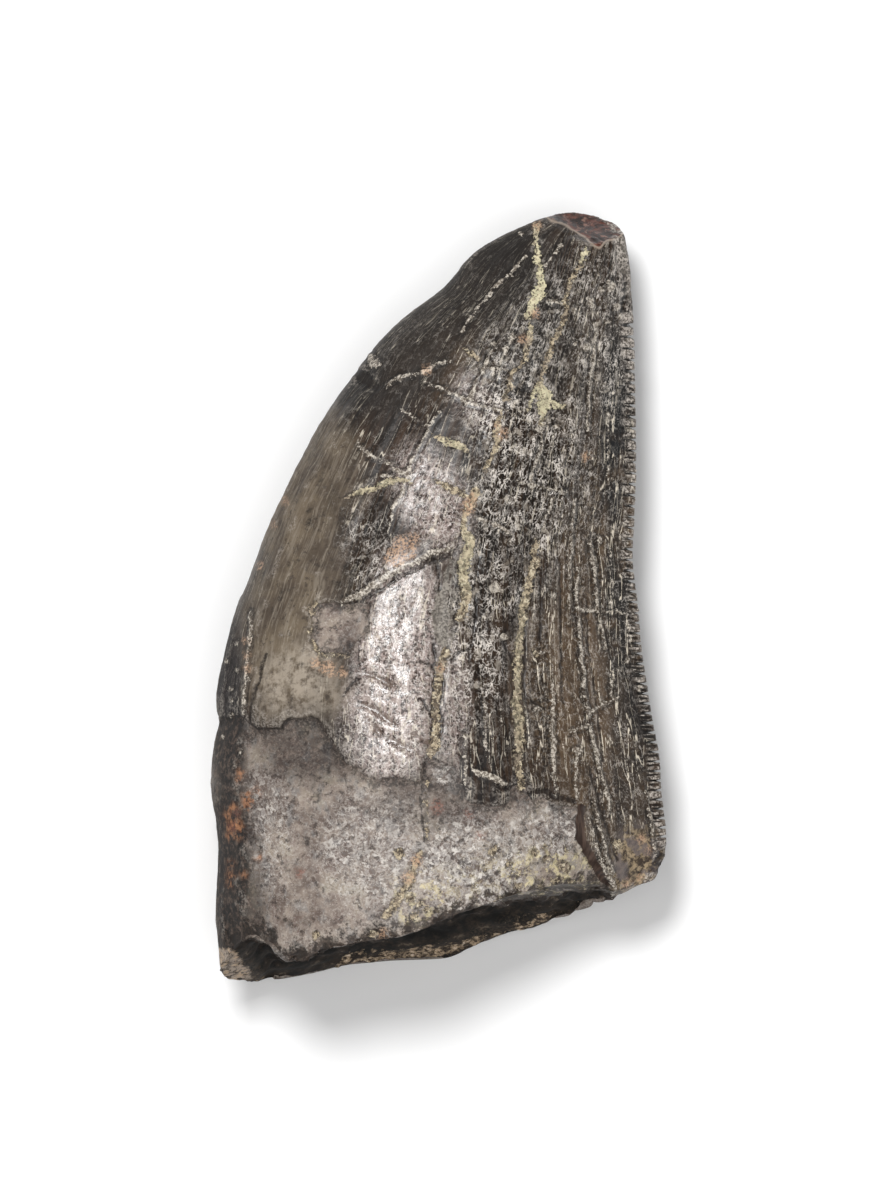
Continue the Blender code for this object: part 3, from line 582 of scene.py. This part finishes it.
def serration(points):
    """Depth of the rear edge's slits beside each point, and the point's distance from the crests."""
    x, y = points[:, 0], points[:, 1]
    bins = np.arange(y.min(), y.max() + EDGE_STEP, EDGE_STEP)
    which = np.clip(np.digitize(y, bins) - 1, 0, len(bins) - 1)
    edge = np.full(len(bins), -np.inf)
    np.maximum.at(edge, which, x)
    known = np.isfinite(edge)
    edge = np.interp(bins, bins[known], edge[known])
    padded = np.pad(edge, EDGE_REACH, mode="edge")
    crest = np.max([padded[k:k + len(edge)] for k in range(2 * EDGE_REACH + 1)], axis=0)
    top, bottom = from_photo(0, SERRATED_FROM)[1], from_photo(0, SERRATED_TO)[1]
    serrated = smooth_step(top + SERRATED_FADE, top, y) * smooth_step(bottom - SERRATED_FADE, bottom, y)
    centres = bins + 0.5 * EDGE_STEP
    return serrated * np.interp(y, centres, crest - edge), np.interp(y, centres, crest) - x


def hollows(mesh, points, outward):
    """How far each point lies below its smoothed surroundings, in millimetres."""
    ends = np.empty(len(mesh.edges) * 2, dtype=np.int64)
    mesh.edges.foreach_get("vertices", ends)
    first, second = ends.reshape(-1, 2).T
    both, others = np.concatenate((first, second)), np.concatenate((second, first))
    count = np.bincount(both, minlength=len(points))
    smooth = points.copy()
    for _ in range(SMOOTHING_ROUNDS):
        total = np.stack([np.bincount(both, smooth[others, k], len(points)) for k in range(3)], axis=1)
        smooth = 0.5 * (smooth + total / count[:, None])
    return ((smooth - points) * outward).sum(axis=1)


def relief(points, found, girth, along):
    """Height in millimetres that each point moves along its normal."""

    def near(name, low, high):
        return smooth_step(low, high, found[name])

    bare = near("bare", 0.08, -0.08)
    broken = near("broken", 0.05, -0.1)
    crack = near("dark", 0.12, -0.06)
    split = near("split", 0.06, -0.06)
    fill = near("yellow", 0.10, -0.10)
    pale = near("pale", 0.10, -0.04)
    beside_pale = near("pale", 0.26, 0.12) * (1 - pale)
    stripes = noise_field(np.stack([girth, along * 0.09, 0 * girth], axis=1), 0.7, 20, 2)
    fine = noise_field(points, 0.42, 21, 3)
    middle = noise_field(points, 1.0, 23, 3)
    broad = noise_field(points, 2.6, 22, 3)
    crinkled = np.maximum(found["rough"], 0.9 * found["gloss_and_sheen"])
    grey = near("grey", 0.08, -0.08)
    enamel = (1 - bare) * (1 - broken) * (1 - grey)
    height = STRIPE_HEIGHT * stripes * enamel * (1 - 0.6 * found["worn"])
    crumpled = 0.6 * fine + (0.8 - 0.5 * found["gloss_and_sheen"]) * middle
    height += enamel * crinkled * CRINKLE_HEIGHT * crumpled
    height += enamel * found["worn"] * WORN_HEIGHT * middle
    height += FINE_HEIGHT * fine + BROAD_HEIGHT * broad
    height += bare * BARE_HEIGHT * middle
    height -= BARE_STEP * bare + GREY_DEPTH * grey
    height -= CRACK_DEPTH * crack + SPLIT_DEPTH * split
    height += fill * (FILL_HEIGHT * fine - FILL_DEPTH)
    height += RIDGE_HEIGHT * pale - RIDGE_FOOT * beside_pale
    height -= GOUGE_DEPTH * near("gouge", 0.15, -0.12)
    height -= SLIT_RELIEF * near("slit", 0.05, 0.2) * near("edge", 1.0, 0.5)
    depth = -found["broken"]
    hollow = smooth_step(0.05, 0.5, depth) * smooth_step(2.6, 0.9, depth)
    rubble = noise_field(points, 1.5, 30, 4)
    hollow *= near("corner", -0.1, 0.8)
    above = smooth_step(1.2, 5.0, points[:, 2] - points[:, 2].min())
    above *= near("corner", 0.3, 1.6)
    height += broken * above * (BREAK_RELIEF * rubble - HOLLOW_DEPTH * hollow)
    height += broken * RUBBLE_HEIGHT * rubble
    height += near("grains", 0.1, -0.2) * GRAIN_HEIGHT * fine
    return height


def make_skin():
    """The dense skin of the tooth, with its relief and the marks that its material reads."""
    mesh = subdivided(quad_copy(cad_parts["tooth"]))
    refine_near_lines(mesh)
    points, outward = positions(mesh), normals(mesh)
    girth, along = growth_coordinates(points)
    found = marks(points, outward)
    height = relief(points, found, girth, along)
    lowest = points[:, 2].min()
    height *= smooth_step(0.0, 0.5, points[:, 2] - lowest)
    points = points + outward * height[:, None]
    upper_half = smooth_step(0.45, 0.7, (points[:, 2] - lowest) / np.ptp(points[:, 2]))
    uneven = 1 + noise_field(points, 1.1, 40, 3)
    points[:, 2] -= RIM_FALL * smooth_step(1.2, -0.4, found["rim"]) * upper_half * uneven
    mesh.vertices.foreach_set("co", (points * MM).ravel())
    mesh.update()
    # The material paints shade in these hollows and highlights on the ridges between them
    found["hollow"] = hollows(mesh, points, normals(mesh))
    for name, values in found.items():
        store(mesh, name, values)
    store(mesh, "girth", girth)
    store(mesh, "along", along)
    mesh.shade_smooth()
    return added("tooth_skin", mesh)


def tone(code):
    """Linear colour of a hex code."""
    parts = [int(code[k:k + 2], 16) / 255 for k in (1, 3, 5)]
    return tuple(p / 12.92 if p <= 0.04045 else ((p + 0.055) / 1.055) ** 2.4 for p in parts) + (1.0,)


class Surface:
    """A node material, built by short calls that return sockets."""

    def __init__(self, name):
        self.material = bpy.data.materials.new(name)
        self.material.use_nodes = True
        self.tree = self.material.node_tree
        self.shader = self.tree.nodes["Principled BSDF"]

    def node(self, kind, values=(), **settings):
        made = self.tree.nodes.new(kind)
        for name, value in settings.items():
            setattr(made, name, value)
        for key, value in dict(values).items():
            self.feed(made.inputs[key], value)
        return made

    def feed(self, socket, value):
        if isinstance(value, bpy.types.NodeSocket):
            self.tree.links.new(value, socket)
        else:
            socket.default_value = value

    def __getitem__(self, name):
        """A number that the skin stores for each vertex."""
        return self.node("ShaderNodeAttribute", attribute_name=name).outputs["Fac"]

    def position(self):
        """Place on the tooth in millimetres."""
        return self.stretched(self.node("ShaderNodeTexCoord").outputs["Object"], (1 / MM,) * 3)

    def stretched(self, vector, factors):
        made = self.node("ShaderNodeVectorMath", {0: vector, 1: factors}, operation="MULTIPLY")
        return made.outputs[0]

    def swing(self, value, amount):
        """A noise value as a shift to both sides of zero."""
        return self.times(self.math("SUBTRACT", value, 0.5), amount)

    def joined(self, x, y, z):
        return self.node("ShaderNodeCombineXYZ", {0: x, 1: y, 2: z}).outputs[0]

    def math(self, operation, *values):
        made = self.node("ShaderNodeMath", dict(enumerate(values)), operation=operation)
        return made.outputs[0]

    def combined(self, operation, total, *values):
        for value in values:
            total = self.math(operation, total, value)
        return total

    def add(self, *values):
        return self.combined("ADD", *values)

    def times(self, *values):
        return self.combined("MULTIPLY", *values)

    def highest(self, *values):
        return self.combined("MAXIMUM", *values)

    def noise(self, vector, scale, detail=3.0, roughness=0.55):
        values = {"Vector": vector, "Scale": scale, "Detail": detail, "Roughness": roughness}
        return self.node("ShaderNodeTexNoise", values).outputs["Fac"]

    def patch(self, vector, scale, low, high, *kind):
        """Uneven spots where noise passes from low to high."""
        return self.step(self.noise(vector, scale, *kind), low, high)

    def worms(self, vector, scale, width, detail=2.0):
        """Thin winding lines: 1 along a line, 0 between lines."""
        away = self.math("ABSOLUTE", self.math("SUBTRACT", self.noise(vector, scale, detail, 0.6), 0.5))
        return self.step(away, width, 0.25 * width)

    def bent(self, vector, amount):
        """Coordinates pushed about by noise, so that a pattern on them is uneven."""
        push = self.node("ShaderNodeTexNoise", {"Vector": vector, "Scale": 2.4, "Detail": 3.0}).outputs["Color"]
        push = self.node("ShaderNodeVectorMath", {0: push, 1: (0.5,) * 3}, operation="SUBTRACT").outputs[0]
        push = self.stretched(push, (amount,) * 3)
        return self.node("ShaderNodeVectorMath", {0: vector, 1: push}, operation="ADD").outputs[0]

    def flakes(self, vector, scale):
        """Angular cells: the distance from their borders and two random numbers for each cell."""
        settings = {"Vector": vector, "Scale": scale}
        border = self.node("ShaderNodeTexVoronoi", settings, feature="DISTANCE_TO_EDGE").outputs["Distance"]
        cell = self.node("ShaderNodeTexVoronoi", settings).outputs["Color"]
        parts = self.node("ShaderNodeSeparateColor", {"Color": cell}).outputs
        return border, parts["Red"], parts["Green"]

    def step(self, value, low, high):
        """0 on low's side, 1 on high's side, smooth between."""
        if low > high:
            return self.math("SUBTRACT", 1.0, self.step(value, high, low))
        values = {"Value": value, "From Min": low, "From Max": high}
        made = self.node("ShaderNodeMapRange", values, interpolation_type="SMOOTHSTEP")
        return made.outputs["Result"]

    def mix(self, factor, first, second):
        """Colour mix of sockets or hex codes."""
        values = {0: factor, 6: colour_value(first), 7: colour_value(second)}
        made = self.node("ShaderNodeMix", values, data_type="RGBA")
        return made.outputs[2]

    def painted(self, colour, *layers):
        """Colour under layers of (paint, amounts), each as strong as the product of its amounts."""
        for paint, *amounts in layers:
            colour = self.mix(self.times(*amounts), colour, paint)
        return colour

    def blend(self, factor, first, second):
        made = self.node("ShaderNodeMix", {0: factor, 2: first, 3: second}, data_type="FLOAT")
        return made.outputs[0]


def colour_value(value):
    return tone(value) if isinstance(value, str) else value


def enamel_colour(s, here, growth, stripes):
    """Dark brown enamel, streaked along its growth, with its worn, shiny and stained zones; the shiny crest's pale
    pinkish tone is partly a painted sheen, and the darker zones towards the tip and along the steep sides are partly
    painted shade.
    """
    slow = s.noise(here, 0.5, 4.0, 0.6)
    umber = s.painted(
        s.mix(s.patch(growth, 0.6, 0.4, 0.6, 3.0, 0.5), "#261c13", "#5d4b39"),
        ("#7a6751", s.patch(here, 3.4, 0.46, 0.6, 3.0, 0.7), 0.4),
    )
    worn = s.painted(
        s.mix(s.step(slow, 0.34, 0.66), "#4c4136", "#6e6150"),
        ("#8d8375", s.step(stripes, 0.48, 0.64), 0.5),
        ("#352d27", s.patch(here, 2.2, 0.44, 0.34, 4.0, 0.7), 0.7),
        ("#b3a797", s["fawn"], s.patch(here, 1.8, 0.35, 0.6, 4.0, 0.7), 0.7),
    )
    # The shiny crest: pinkish-silver enamel, made paler still as a painted sheen
    crest = s.painted(
        s.mix(s.patch(here, 3.8, 0.43, 0.57, 4.0, 0.75), "#372c28", "#9c8c85"),
        ("#cbbab4", s.step(stripes, 0.5, 0.58), 0.4),
    )
    return s.painted(
        s.mix(s.step(stripes, 0.42, 0.66), "#120b07", "#332417"),
        ("#402f21", s.patch(growth, 1.3, 0.5, 0.64, 3.0, 0.5), 0.5),
        (umber, s["umber"], 0.75),
        # Painted shade over the end towards the tip
        ("#0d0906", s["shade_by_tip"], 0.6),
        (worn, s["worn"], 0.85),
        (crest, s["gloss_and_sheen"], 0.85),
        # Plum-dark steep left side, partly painted shade
        ("#1d1819", s["plum_and_shade"], 0.9),
        # Blue-black along the rear edge and in a chip, partly painted shade
        ("#101113", s["inky_and_shade"], s.step(slow, 0.3, 0.5)),
    )


def crinkles(s, here, growth, bent, colour):
    """Crumpled facets in painted light and shade, angular flakes, pale growth streaks and fine winding lighter lines
    that are painted glints, over the enamel.
    """
    border, chance, other = s.flakes(bent, 1.7)
    small_chance = s.noise(bent, 5.5, 1.0)
    rough, gloss_and_sheen, umber = s["rough"], s["gloss_and_sheen"], s["umber"]
    drawn_out = s.joined(s["girth"], s.times(s["along"], 0.6), 0.0)
    patchy = s.patch(here, 1.2, 0.45, 0.62, 3.0)
    beads = s.patch(here, 3.4, 0.4, 0.52, 3.0, 0.6)
    plain = s.math("SUBTRACT", 1.0, s.times(s["worn"], 0.8))
    fine = s.add(s.times(rough, s.add(patchy, 0.3), 0.65), s.times(gloss_and_sheen, 0.5), 0.05)
    wide = s.add(s.times(patchy, s.add(s.times(rough, 0.8), 0.2)), s.times(umber, beads, 0.2))
    long = s.add(s.times(patchy, 0.3), s.times(umber, 0.4), 0.4)
    small = s.add(s.times(umber, 0.2), s.times(rough, 0.5), s.times(gloss_and_sheen, 0.5))
    flake = s.times(s.step(border, 0.05, 0.09), s.step(chance, 0.80, 0.83), s.patch(here, 2.8, 0.42, 0.56, 4.0, 0.75))
    return s.painted(
        colour,
        # Painted light and shade: crumpled facets lighter or darker as if they faced the light at different angles
        ("#857d74", rough, small_chance, 0.1),
        ("#0e0b09", rough, s.math("SUBTRACT", 1.0, chance), 0.6),
        # Painted glints: fine winding lighter lines where the crinkles catch the light, strongest on the shiny crest
        ("#d4ccc4", s.worms(drawn_out, 2.7, 0.034, 2.0), fine, plain),
        ("#ded6cc", s.worms(drawn_out, 1.6, 0.022, 4.0), wide, plain),
        ("#ded3c0", s.worms(growth, 1.2, 0.010, 2.0), long, beads, plain),
        (s.mix(other, "#6f665c", "#c9c0b2"), flake, rough, 0.7),
        # Pale flecks, which on the shiny crest are painted sparkles
        ("#d9d0c6", s.step(small_chance, 0.63, 0.67), small, plain),
        # Painted glints sparkling on the shiny crest
        ("#f0e6e2", s.patch(here, 5.0, 0.57, 0.63, 3.0, 0.7), gloss_and_sheen, 0.6),
        # Painted shade over the end towards the tip
        ("#120c08", s["shade_by_tip"], 0.6),
    )


def bare_colour(s, here, grain, bent):
    """Mottled grey where the enamel is gone, with pale and yellowish chips at the right."""
    first = s.noise(here, 0.5, 5.0, 0.65)
    second = s.noise(s.stretched(here, (1.3, 1.0, 1.7)), 0.8, 5.0, 0.65)
    border, chance, other = s.flakes(bent, 2.6)
    slate = s["slate"]
    cream = s.patch(bent, 1.6, 0.5, 0.58, 4.0, 0.75)
    darker_by_rim = s.step(s.add(s["rim"], s.swing(s.noise(here, 1.3, 4.0, 0.7), 6.0)), 1.1, 0.5)
    return s.painted(
        s.mix(s.step(first, 0.38, 0.62), "#5d5049", "#908378"),
        ("#77797a", s.step(second, 0.52, 0.64), 0.4),
        ("#6d5b54", s.step(second, 0.46, 0.34), 0.5),
        ("#88806a", s.step(first, 0.56, 0.68), 0.35),
        (s.mix(chance, "#4f4846", "#b9b3ae"), s.step(border, 0.02, 0.16), slate, 0.75),
        ("#ded8d0", s.patch(here, 2.6, 0.54, 0.62, 4.0, 0.75), s.add(slate, 0.1), 0.8),
        ("#d2c498", cream, s["buff"], s.add(s.times(other, 0.5), 0.45)),
        ("#352e2b", s.patch(here, 2.2, 0.45, 0.36, 4.0, 0.75), 0.75),
        ("#cdc6bd", s.worms(here, 2.2, 0.05, 3.0), s.add(s.times(slate, 0.25), 0.12)),
        ("#cfc8c0", s.step(grain, 0.58, 0.66), s.add(s.times(slate, 0.3), 0.25)),
        # Near-black on the steep left side, partly painted shade
        (s.mix(s.patch(here, 2.6, 0.46, 0.64, 4.0, 0.75), "#0d0a0a", "#4f4138"), s["plum_and_shade"], 0.94),
        # Darker towards the break's rim
        (s.mix(s.step(grain, 0.4, 0.6), "#120d0a", "#3b3028"), darker_by_rim, 0.85),
    )


def corner_colour(s, here, bent):
    """Tan crust with grey-purple patches, by the lower end of the serrated edge."""
    crust = s.noise(bent, 2.4, 4.0, 0.75)
    return s.painted(
        s.mix(s.step(crust, 0.42, 0.6), "#3a2f26", "#a28f73"),
        (s.mix(crust, "#3d3637", "#7d7270"), s.patch(here, 0.9, 0.48, 0.56, 4.0, 0.6), 0.85),
    )


def break_colour(s, here, grain):
    """Very dark under the rim and tan on the lower rim."""
    rubble = s.noise(here, 1.1, 5.0, 0.7)
    coarse = s.noise(here, 3.0, 4.0, 0.75)
    tan = s.painted(
        s.mix(s.step(coarse, 0.42, 0.6), "#2f261f", "#b39c80"),
        ("#d8c8b4", s.step(coarse, 0.58, 0.66)),
    )
    return s.painted(
        s.mix(s.step(rubble, 0.42, 0.62), "#090705", "#2a221b"),
        ("#7d6f60", s.step(rubble, 0.6, 0.68), 0.4),
        ("#6b5b4a", s.step(s["broken"], -0.9, -1.9), s.step(grain, 0.48, 0.6), 0.35),
        ("#3a2f28", s.step(s["broken"], -0.3, 0.0), 0.6),
        (tan, s.step(s.add(s["grains"], s.swing(rubble, 2.2)), 0.02, -0.2)),
    )


def vein_colour(s, here, bent, grain):
    """Tan, cream and dark grains of the filling in the veins."""
    return s.painted(
        s.mix(s.patch(here, 3.0, 0.42, 0.56, 4.0, 0.75), "#5a4e40", "#b0a187"),
        ("#897c6d", s.patch(here, 0.7, 0.48, 0.6, 3.0), 0.6),
        ("#ded3b8", s.patch(bent, 4.2, 0.56, 0.62, 3.0, 0.7), 0.7),
        ("#2b221a", s.patch(here, 3.4, 0.48, 0.42, 3.0, 0.75), 0.85),
        ("#ddd6b2", s["cream"], s.step(grain, 0.38, 0.5), 0.7),
    )


def fossil_material():
    s = Surface("fossil_enamel")
    here = s.position()
    growth = s.joined(s["girth"], s.times(s["along"], 0.10), 0.0)
    wander = s.swing(s.noise(here, 2.6, 3.0, 0.8), 0.8)

    def mark(name, low, high, *share):
        """Where a stored distance says that a mark is, with an edge that wanders, wholly or by a share."""
        return s.step(s.add(s[name], s.times(wander, *share)), low, high)

    grain = s.noise(here, 7.0, 2.0, 0.65)
    stripes = s.noise(growth, 4.5, 3.0, 0.6)
    gaps = s.patch(here, 1.6, 0.3, 0.42, 3.0)
    bent = s.bent(here, 0.5)
    bare = mark("bare", 0.03, -0.03, 0.3)
    worn_tip = mark("wear", 0.03, -0.03, 0.4)
    broken = mark("broken", 0.05, -0.05, 1.1)
    ragged = s.swing(s.noise(here, 5.0, 3.0, 0.7), 0.8)
    veined = s.step(s.add(s["yellow"], ragged, s.times(wander, 0.35)), 0.03, -0.02)

    grey = s.mix(s.step(grain, 0.35, 0.65), "#4c463f", "#8f887e")
    # Dark brown of the split, partly painted shade on its wall
    split = s.mix(s.step(stripes, 0.4, 0.6), "#2d211b", "#4a3a31")
    pale = s.mix(s.step(grain, 0.4, 0.62), "#675d52", "#d6cdbf")
    stain = s.mix(s.step(grain, 0.42, 0.6), "#6b5040", "#c9a688")
    rust = s.mix(s.patch(here, 2.6, 0.4, 0.6, 4.0, 0.7), "#40261a", "#b67f58")
    # The worn tip: dark red-brown, with pale speckles that are painted highlights
    tip = s.painted(
        s.mix(s.patch(here, 1.5, 0.42, 0.62, 5.0, 0.7), "#1f1310", "#5f3a30"),
        ("#a57e6e", s.patch(bent, 2.6, 0.56, 0.64, 4.0, 0.7), 0.5),
    )
    denticle = s.mix(s.step(grain, 0.4, 0.6), "#4d463f", "#c9c0b6")
    dash = s.mix(s.step(s["slit"], 0.12, 0.04), "#0f0d0c", denticle)
    at_edge = s.times(s.step(s["edge"], 0.95, 0.6), s.step(s["edge"], -0.2, -0.1))
    chip = s.painted(
        s.mix(s.patch(here, 3.0, 0.4, 0.58, 4.0, 0.75), "#443a33", "#a39587"),
        ("#c2a98d", s.patch(bent, 1.6, 0.5, 0.6, 4.0, 0.75), 0.7),
    )
    shadow = s.highest(mark("yellow", 0.16, 0.0), s.times(mark("pale", 0.14, 0.0), gaps))
    colour = s.painted(
        crinkles(s, here, growth, bent, enamel_colour(s, here, growth, stripes)),
        (corner_colour(s, here, bent), s["buff"], s.step(s["edge"], 3.4, 2.6), 0.9),
        (bare_colour(s, here, grain, bent), bare),
        (grey, mark("grey", 0.06, -0.04), 0.9),
        # Painted shade along the enamel's step down to the bare patches
        ("#1f1814", s.step(s["bare"], 0.16, 0.04), s.step(s["bare"], -0.10, 0.0), 0.4),
        # Painted shade in creases and hollows of the relief, and a painted highlight on its ridges, kept off the
        # break's rim
        ("#110d0a", s.step(s["hollow"], 0.004, 0.026), s.step(grain, 0.3, 0.6), 0.7),
        ("#b5aca2", s.step(s["hollow"], -0.014, -0.04), s.step(grain, 0.4, 0.6), 0.35, s.step(s["rim"], 0.3, 0.8)),
        ("#17110d", shadow, 0.5),
        ("#1c1511", mark("dark", 0.04, -0.08), 0.75),
        ("#6b5a50", mark("gouge", 0.08, -0.08), 0.6),
        (split, s.step(s["split"], 0.04, -0.04)),
        (pale, mark("pale", 0.02, -0.04), gaps, 0.8),
        (vein_colour(s, here, bent, grain), veined, 0.95),
        (stain, mark("orange", 0.2, -0.2), s.step(grain, 0.4, 0.5), 0.65),
        (rust, mark("rust", 0.3, -0.3), s.patch(here, 1.8, 0.4, 0.56, 4.0, 0.7), 0.85),
        ("#8c5a4b", mark("red", 0.2, -0.2), s.step(grain, 0.4, 0.55), 0.45),
        (tip, worn_tip),
        ("#a39384", s.step(s["wear"], 0.16, 0.04), s.step(s["wear"], -0.06, 0.02), gaps, 0.7),
        (dash, at_edge, s.patch(here, 1.8, 0.4, 0.56, 3.0), 0.7),
        (break_colour(s, here, grain), broken),
        (chip, mark("corner", 0.1, -0.15)),
    )
    s.feed(s.shader.inputs["Base Color"], colour)

    shiny = s.highest(s.times(s["rough"], 0.8), s["gloss_and_sheen"])
    dull = s.highest(s["plum_and_shade"], s["inky_and_shade"], s.times(s["shade_by_tip"], 0.6), s.times(s["worn"], 0.8))
    matte = s.blend(bare, s.blend(shiny, 0.48, 0.22), 0.6)
    for where, roughness in ((dull, 0.85), (veined, 0.75), (worn_tip, 0.36), (broken, 0.9)):
        matte = s.blend(where, matte, roughness)
    s.feed(s.shader.inputs["Roughness"], s.add(matte, s.swing(grain, 0.25)))
    s.shader.inputs["Specular IOR Level"].default_value = 0.36
    s.feed(s.shader.inputs["Normal"], fine_relief(s, here, stripes, bare))
    return s.material


def fine_relief(s, here, stripes, bare):
    """Bump in millimetres: streaks, crumpled facets and pits too fine for the mesh."""
    crinkled = s.highest(s["rough"], s["gloss_and_sheen"])
    facets = s.node("ShaderNodeTexVoronoi", {"Vector": here, "Scale": 3.0}).outputs["Distance"]
    folds = s.noise(s.stretched(here, (1.0, 0.75, 1.0)), 4.0, 2.0, 0.6)
    folds = s.math("ABSOLUTE", s.math("SUBTRACT", folds, 0.5))
    height = s.times(stripes, 0.006)
    height = s.add(height, s.times(folds, s.add(s.times(crinkled, 0.025), 0.008)))
    height = s.add(height, s.times(facets, s.add(s.times(s["rough"], 0.03), 0.004)))
    height = s.math("SUBTRACT", height, s.times(s.step(s["dark"], 0.06, -0.06), 0.03))
    pitted = s.noise(here, 2.6, 2.0, 0.65)
    height = s.blend(bare, height, s.add(s.times(pitted, 0.03), s.times(facets, s["slate"], 0.03)))
    return s.node("ShaderNodeBump", {"Height": height, "Distance": MM, "Strength": 1.0}).outputs[0]


def plain_material(name, colour, roughness):
    s = Surface(name)
    s.shader.inputs["Base Color"].default_value = colour
    s.shader.inputs["Roughness"].default_value = roughness
    return s.material


def make_floor():
    mesh = bpy.data.meshes.new("floor")
    work = bmesh.new()
    bmesh.ops.create_grid(work, x_segments=1, y_segments=1, size=FLOOR_HALF)
    work.to_mesh(mesh)
    work.free()
    mesh.materials.append(plain_material("floor_paper", (0.9, 0.9, 0.9, 1.0), 0.9))
    floor = added("floor", mesh)
    floor.location.z = LOW.z - FLOOR_GAP


def make_lights():
    for name, (place, size, power) in LIGHTS.items():
        data = bpy.data.lights.new(name, "AREA")
        data.shape = "DISK"
        data.size = size
        data.energy = power
        light = added(name, data)
        light.location = place
        light.rotation_mode = "QUATERNION"
        light.rotation_quaternion = (Vector(LIT_PLACE) - light.location).to_track_quat("-Z", "Y")
        light.visible_camera = False
    world = bpy.data.worlds.new("studio")
    world.use_nodes = True
    background = world.node_tree.nodes["Background"]
    background.inputs["Color"].default_value = (1.0, 1.0, 1.0, 1.0)
    background.inputs["Strength"].default_value = WORLD_STRENGTH
    bpy.context.scene.world = world


def make_camera():
    """Looks straight down, with the tooth as large and in the same place as in the photograph."""
    data = bpy.data.cameras.new("camera")
    data.sensor_fit = "AUTO"
    data.sensor_width = SENSOR_WIDTH_MM
    frame_height = PHOTO_HEIGHT * PIXEL * MM
    data.lens = SENSOR_WIDTH_MM * (CAMERA_HEIGHT - OUTLINE_LEVEL) / frame_height
    data.clip_start = 0.01
    data.clip_end = 10.0
    camera = added("camera", data)
    centre_x = (0.5 * PHOTO_WIDTH - 0.5 * (OUTLINE_LEFT + OUTLINE_RIGHT)) * PIXEL * MM
    centre_y = (0.5 * (OUTLINE_TOP + OUTLINE_BOTTOM) - 0.5 * PHOTO_HEIGHT) * PIXEL * MM
    camera.location = (centre_x, centre_y, CAMERA_HEIGHT)
    bpy.context.scene.camera = camera


def main():
    make_camera()
    skin = make_skin()
    skin.data.materials.clear()
    skin.data.materials.append(fossil_material())
    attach(skin, "root")
    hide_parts("tooth")
    make_floor()
    make_lights()
    bpy.context.scene.view_settings.view_transform = "Standard"


main()
bpy.context.view_layer.update()
